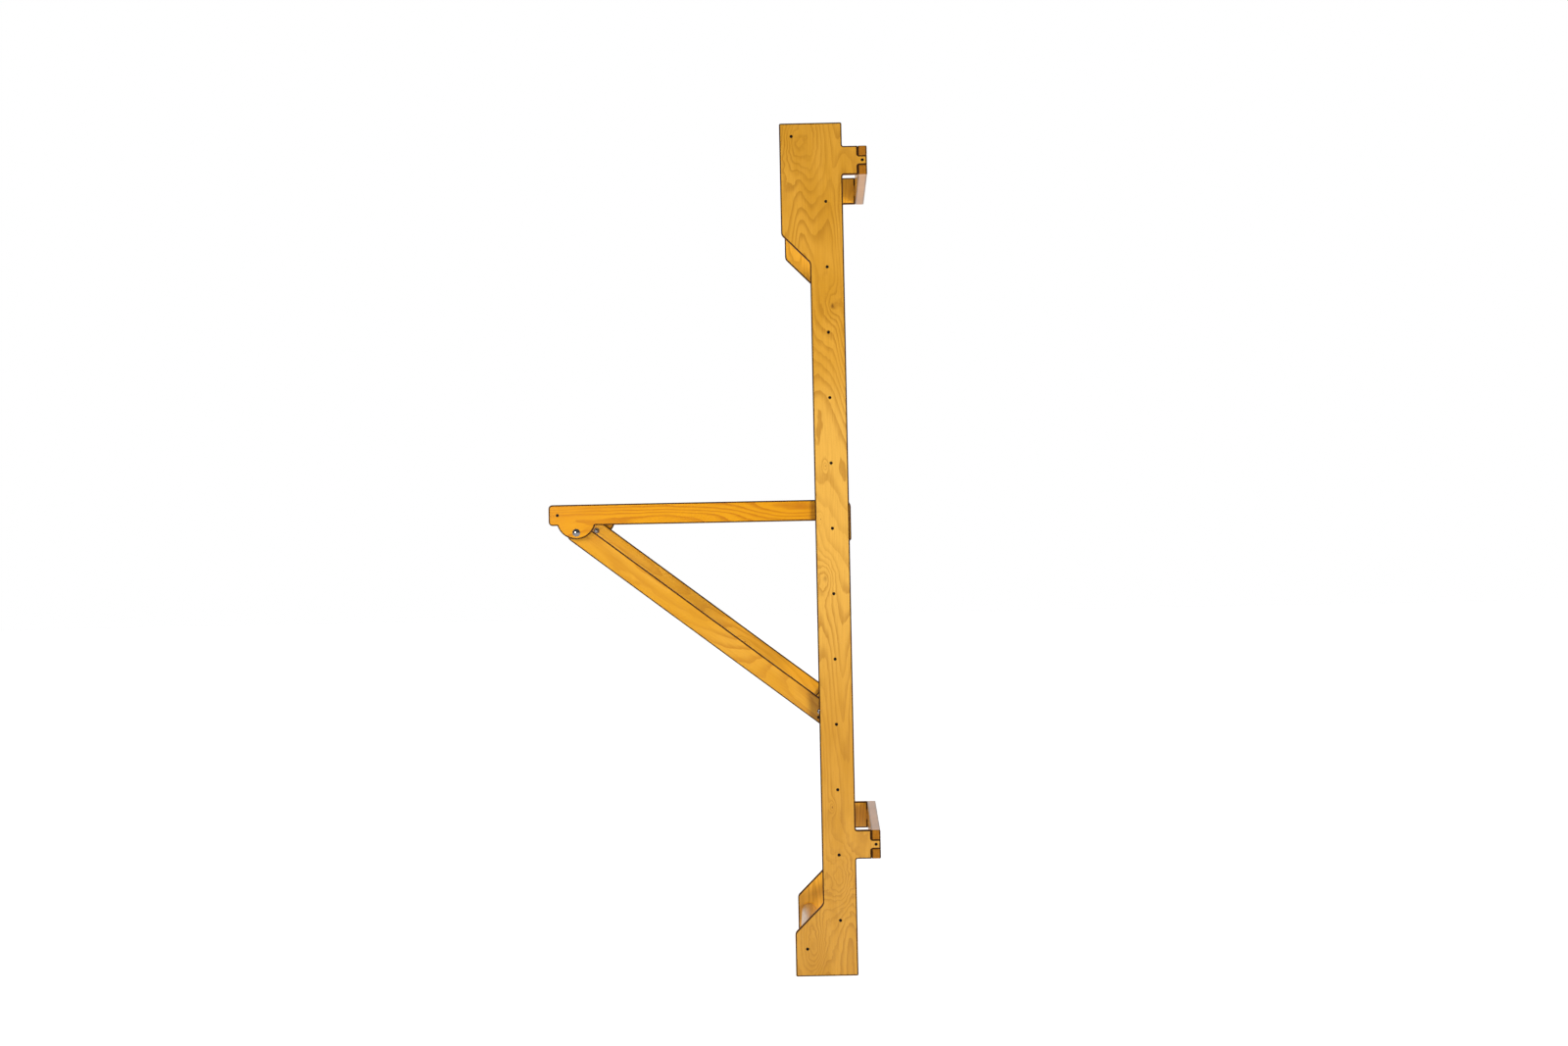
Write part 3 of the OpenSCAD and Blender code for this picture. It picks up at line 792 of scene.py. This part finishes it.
def modelBoard(node, board):
    spot, thickness = middle(node), 2 * halfSize(node).x
    piece = weldedCopy(node)
    keepOutline(piece, spot.x + thickness / 2, holeRims(node))
    bpy.ops.mesh.extrude_region_move(TRANSFORM_OT_translate={"value": (-thickness, 0, 0)})
    bpy.ops.mesh.select_all(action="SELECT")
    bpy.ops.mesh.normals_make_consistent(inside=False)
    found = selectWhere(piece, "edges", betweenFaceAndEdge)
    bpy.ops.mesh.bevel(offset=board["round"], segments=4, affect="EDGES", clamp_overlap=False)
    objectMode()
    for tools in holeTools(node):
        if tools:
            carve(piece, joined(tools, "tool"))
    turn = boardTurn(board)
    # the gain darkens the near pieces and lightens the far ones, partly sheet tone and partly painted light
    # and shade
    look = shaded(board["look"], board["gain"])
    dressed(piece, veneerMaterial(piece.name + "Veneer", look, spot, turn, board["seed"],
                                  board.get("knots", ()), board.get("paler")),
            edgeMaterial(piece.name + "Edge", edgeLook, spot, turn, board["seed"], thickness))
    for polygon in piece.data.polygons:
        polygon.material_index = 0 if abs(polygon.normal.x) > square["flat"] else 1
    smooth(piece)
    slotName = "birch_plywood" if board["look"] is birchLook else "bracket_plywood"
    settle(piece, bodyOf(node), slotName, node)
    print("board", piece.name, "outline edges", found, "faces", len(piece.data.polygons))


for boardNode, boardFacts in boards.items():
    modelBoard(boardNode, boardFacts)


# ---- wall rails: a copy of the CAD node, welded, every outer edge softened ----

rail = {"round": 3.0 * mm, "seeds": (9.4, 12.7), "turn": (quarterTurn, 0, 0),
        "flatAngle": math.radians(0.4), "sharpAngle": math.radians(40),
        "endZone": 30 * mm, "screwZone": 5 * mm, "boltZone": 6 * mm}


def modelRail(node, seed):
    centre, half = middle(node), halfSize(node)
    screwY = middle("right_rail_screws").y
    piece = weldedCopy(node)
    bpy.ops.mesh.dissolve_limited(angle_limit=rail["flatAngle"])

    def outerEdge(edge):
        # every sharp edge but the rims of the screw and bolt holes
        if len(edge.link_faces) != 2 or edge.calc_face_angle(0) < rail["sharpAngle"]:
            return False
        spot = (edge.verts[0].co + edge.verts[1].co) / 2
        atEnd = half.x - abs(spot.x - centre.x) < rail["endZone"]
        inScrewHole = atEnd and math.hypot(spot.y - screwY, spot.z - centre.z) < rail["screwZone"]
        inBoltHole = not atEnd and abs(spot.z - centre.z) < rail["boltZone"]
        return not (inScrewHole or inBoltHole)

    found = selectWhere(piece, "edges", outerEdge)
    bpy.ops.mesh.bevel(offset=rail["round"], segments=3, affect="EDGES", clamp_overlap=False)
    objectMode()
    # the rails' edge material is painted sheen, paler than the other boards' edges
    dressed(piece, veneerMaterial(piece.name + "Veneer", birchLook, centre, rail["turn"], seed),
            edgeMaterial(piece.name + "Edge", railEdgePaintedSheen, centre, rail["turn"], seed, 2 * half.y),
            edgeMaterial(piece.name + "End", edgeLook, centre, rail["turn"], seed, 2 * half.y))
    for polygon in piece.data.polygons:
        atEnd = half.x - abs(polygon.center.x - centre.x) < 2 * rail["round"]
        flat = abs(polygon.normal.y) > square["flat"]
        polygon.material_index = 0 if flat else 2 if atEnd else 1
    smooth(piece)
    settle(piece, bodyOf(node), "birch_plywood", node)
    print("rail", piece.name, "outer edges", found, "faces", len(piece.data.polygons))


for railNode, railSeed in zip(railNodes, rail["seeds"]):
    modelRail(railNode, railSeed)


# ---- rungs and pull-up bar ----

dowelFacts = {"chamfer": 1.2 * mm, "corners": 96}


def modelDowel(node):
    half, centre = halfSize(node), middle(node)
    cut = dowelFacts["chamfer"]
    rings = [(-half.x, half.z - cut), (cut - half.x, half.z),
             (half.x - cut, half.z), (half.x, half.z - cut)]
    piece = turned(camelName(node), rings, dowelFacts["corners"])
    spots, length, _ = screwPlaces("right_bar_screw" if node == "pull_up_bar" else "right_rung_screws")
    headX, drillRadius = spots[0].x, screw["threadRadius"] + fit
    drill = turned("drill", [(headX, drillRadius), (headX - length, drillRadius)], screw["corners"])
    drills = [copyAt(drill, "drill", Vector((0, 0, 0)), side) for side in sides.values()]
    bpy.data.objects.remove(drill)
    carve(piece, joined(drills, "drills"))
    piece.data.transform(Matrix.Translation(centre))
    dressed(piece, dowelWood)
    smooth(piece)
    settle(piece, bodyOf(node), "dowel", node)


for dowelNode in rungNodes + ["pull_up_bar"]:
    modelDowel(dowelNode)
print("rungs and bar modelled")


# ---- bolts, washers and cap nuts ----

# apart from corners and domeSteps, each number is a share of the radius, height or thickness that it shapes
bolt = {"corners": 48, "domeSteps": 9, "height": 0.45, "top": 0.04, "rim": 0.985, "rimHeight": 0.12,
        "seatHeight": 0.03, "endCut": 0.12, "endRadius": 0.85}
washer = {"chamfer": 0.16}
nut = {"hexDeep": 1.6, "dome": 1.5, "bore": 1.8, "face": 0.98, "corner": 1.01, "chamfer": 0.5, "tip": 0.05}


def domeRings(radius, height, count):
    # a dome of that height on a rim of that radius, from its top down
    ball = (radius * radius + height * height) / (2 * height)
    widest = math.asin(radius / ball)
    rings = []
    for step in range(1, count + 1):
        angle = widest * step / count
        rings.append((height - ball * (1 - math.cos(angle)), ball * math.sin(angle)))
    return rings


def fitSteel(piece, node, seatX, degrees):
    # puts a turned piece in its node's place, with the face it seats on at seatX
    spot = Vector((seatX, middle(node).y, middle(node).z))
    made = copyAt(piece, camelName(node), spot, sideOf(node))
    bpy.data.objects.remove(piece)
    dressed(made, brightSteel)
    smooth(made, degrees)
    settle(made, bodyOf(node), "bright_steel", node)


def modelDomeBolt(node, radius):
    low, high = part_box(node)
    headRadius = halfSize(node).z
    headHeight = bolt["height"] * headRadius
    rimRadius = bolt["rim"] * headRadius
    rings = [(headHeight, bolt["top"] * headRadius)] + domeRings(headRadius, headHeight, bolt["domeSteps"])
    rings[-1] = (bolt["rimHeight"] * headHeight, rimRadius)
    rings += [(bolt["seatHeight"] * headHeight, headRadius), (0, rimRadius), (0, radius)]
    end = headHeight - (high.x - low.x)
    rings += [(end + bolt["endCut"] * radius, radius), (end, bolt["endRadius"] * radius)]
    piece = turned("bolt", rings, bolt["corners"])
    fitSteel(piece, node, high.x - headHeight if sideOf(node) > 0 else low.x + headHeight, softAngle)


def modelWasher(node, hole):
    low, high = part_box(node)
    radius, thick = halfSize(node).z, high.x - low.x
    cut = washer["chamfer"] * thick
    rings = [(-thick / 2, radius - cut), (cut - thick / 2, radius), (thick / 2 - cut, radius),
             (thick / 2, radius - cut)]
    piece = turned(camelName(node), rings, bolt["corners"])
    carve(piece, turned("bore", [(-thick, hole), (thick, hole)], bolt["corners"]))
    piece.data.transform(Matrix.Translation(middle(node)))
    dressed(piece, brightSteel)
    smooth(piece)
    settle(piece, bodyOf(node), "bright_steel", node)


def modelCapNut(node, radius):
    low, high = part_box(node)
    length = high.x - low.x
    hexRadius, hexDeep, domeRadius = halfSize(node).y, nut["hexDeep"] * radius, nut["dome"] * radius
    piece = turned("nut", [(0, hexRadius), (-hexDeep, hexRadius)], 6)
    flat = hexRadius * math.cos(quarterTurn / 3)
    cut = nut["chamfer"] * (hexRadius - flat)
    faceRadius, cornerRadius = nut["face"] * flat, nut["corner"] * hexRadius
    chamfer = [(0, faceRadius), (-cut, cornerRadius), (cut - hexDeep, cornerRadius), (-hexDeep, faceRadius)]
    carve(piece, turned("chamfer", chamfer, bolt["corners"]), "INTERSECT")
    dome = [(mm - hexDeep, domeRadius)]
    for step in range(bolt["domeSteps"]):
        angle = quarterTurn * step / bolt["domeSteps"]
        dome.append((-hexDeep - (length - hexDeep) * math.sin(angle), domeRadius * math.cos(angle)))
    dome.append((-length, nut["tip"] * domeRadius))
    carve(piece, turned("dome", dome, bolt["corners"]), "UNION")
    boreRadius, boreEnd = radius + fit, -nut["bore"] * radius - fit
    carve(piece, turned("bore", [(mm, boreRadius), (boreEnd, boreRadius)], bolt["corners"]))
    fitSteel(piece, node, high.x if sideOf(node) > 0 else low.x, crispAngle)


for sideWord in sides:
    for kind, radius in boltRadius.items():
        modelDomeBolt(sideWord + "_" + kind + "_bolt", radius)
        modelWasher(sideWord + "_" + kind + "_washer", radius + fit)
        modelCapNut(sideWord + "_" + kind + "_nut", radius)
    modelWasher(sideWord + "_pivot_spacer", boltRadius["pivot"] + fit)
print("bolts, washers and nuts modelled")


# ---- floor, light and camera ----

studio = {"behind": 0.95, "front": 0.19, "turnover": (-0.75, -0.05), "floorSize": 60, "floorRough": 0.9,
          "floorTone": (0.8, 0.8, 0.8, 1), "floorGlow": 0.44, "floorSeen": 0.75, "white": (1, 1, 1, 1),
          "keyPlace": (4.25, 1.95, -0.3), "keyAim": (0.45, -0.11, 0.0), "keySize": 1.1, "keyPower": 170.0,
          "fillPlace": (1.9, -1.5, 0.3), "fillAim": (0.4, -0.7, 0.0), "fillSize": 0.6, "fillPower": 22.0}
camera = {"lens": 80.2, "sensor": 36, "farthest": 100, "place": (9.4563, -0.1244, -0.0138),
          "pan": math.radians(0.6887), "tilt": math.radians(-0.2250), "roll": math.radians(-1.1657)}


def makeFloor():
    bpy.ops.object.select_all(action="DESELECT")
    bpy.ops.mesh.primitive_plane_add(size=studio["floorSize"], location=(0, 0, cadBounds[0].z))
    floor = bpy.context.active_object
    floor.name = "floor"
    made, tree, shader = newMaterial("paleFloor")
    # it looks as white as the backdrop, but throws only its own soft light back at the object
    shader.inputs["Base Color"].default_value = studio["floorTone"]
    shader.inputs["Roughness"].default_value = studio["floorRough"]
    shader.inputs["Emission Color"].default_value = studio["white"]
    seen = addNode(tree, "LightPath").outputs["Is Camera Ray"]
    glow = steps(tree, seen, 0.0, 1.0, studio["floorGlow"], studio["floorSeen"])
    tree.links.new(glow, shader.inputs["Emission Strength"])
    floor.data.materials.append(made)


def makeWorld():
    # white behind the object, dim in front of it, and plain white where the camera looks past it
    world = bpy.data.worlds.new("studio")
    world.use_nodes = True
    tree = world.node_tree
    tree.nodes.clear()
    out = tree.nodes.new("ShaderNodeOutputWorld")
    way = addNode(tree, "TexCoord").outputs["Generated"]
    apart = addNode(tree, "SeparateXYZ", {0: way}).outputs
    glow = steps(tree, apart["X"], *studio["turnover"], studio["behind"], studio["front"])
    ray = addNode(tree, "LightPath").outputs["Is Camera Ray"]
    strength = maths(tree, "MAXIMUM", glow, ray)
    back = addNode(tree, "Background", {"Color": studio["white"], "Strength": strength})
    tree.links.new(back.outputs[0], out.inputs[0])
    scene.world = world


def makeSoftbox(name):
    lamp = bpy.data.lights.new(name, "AREA")
    lamp.shape = "SQUARE"
    lamp.size = studio[name + "Size"]
    lamp.energy = studio[name + "Power"]
    holder = bpy.data.objects.new(name, lamp)
    scene.collection.objects.link(holder)
    holder.location = studio[name + "Place"]
    # the big key light is kept out of reflections, so that no view is blown out by glare
    holder.visible_glossy = name != "key"
    aim = Vector(studio[name + "Aim"]) - holder.location
    holder.rotation_euler = aim.to_track_quat("-Z", "Y").to_euler()


def makeCamera():
    # level with the middle of the bars, square to their side, with the small lean of a hand-set tripod
    lens = bpy.data.cameras.new("camera")
    lens.lens = camera["lens"]
    lens.sensor_width = camera["sensor"]
    lens.clip_end = camera["farthest"]
    holder = bpy.data.objects.new("camera", lens)
    scene.collection.objects.link(holder)
    facing = Matrix.Rotation(quarterTurn, 4, "Z") @ Matrix.Rotation(quarterTurn, 4, "X")
    pan = Matrix.Rotation(camera["pan"], 4, "Y")
    tilt = Matrix.Rotation(camera["tilt"], 4, "X")
    roll = Matrix.Rotation(camera["roll"], 4, "Z")
    holder.matrix_world = Matrix.Translation(camera["place"]) @ facing @ pan @ tilt @ roll
    scene.camera = holder


makeFloor()
makeWorld()
makeSoftbox("key")
makeSoftbox("fill")
makeCamera()
scene.view_settings.view_transform = "Standard"
print("studio made")
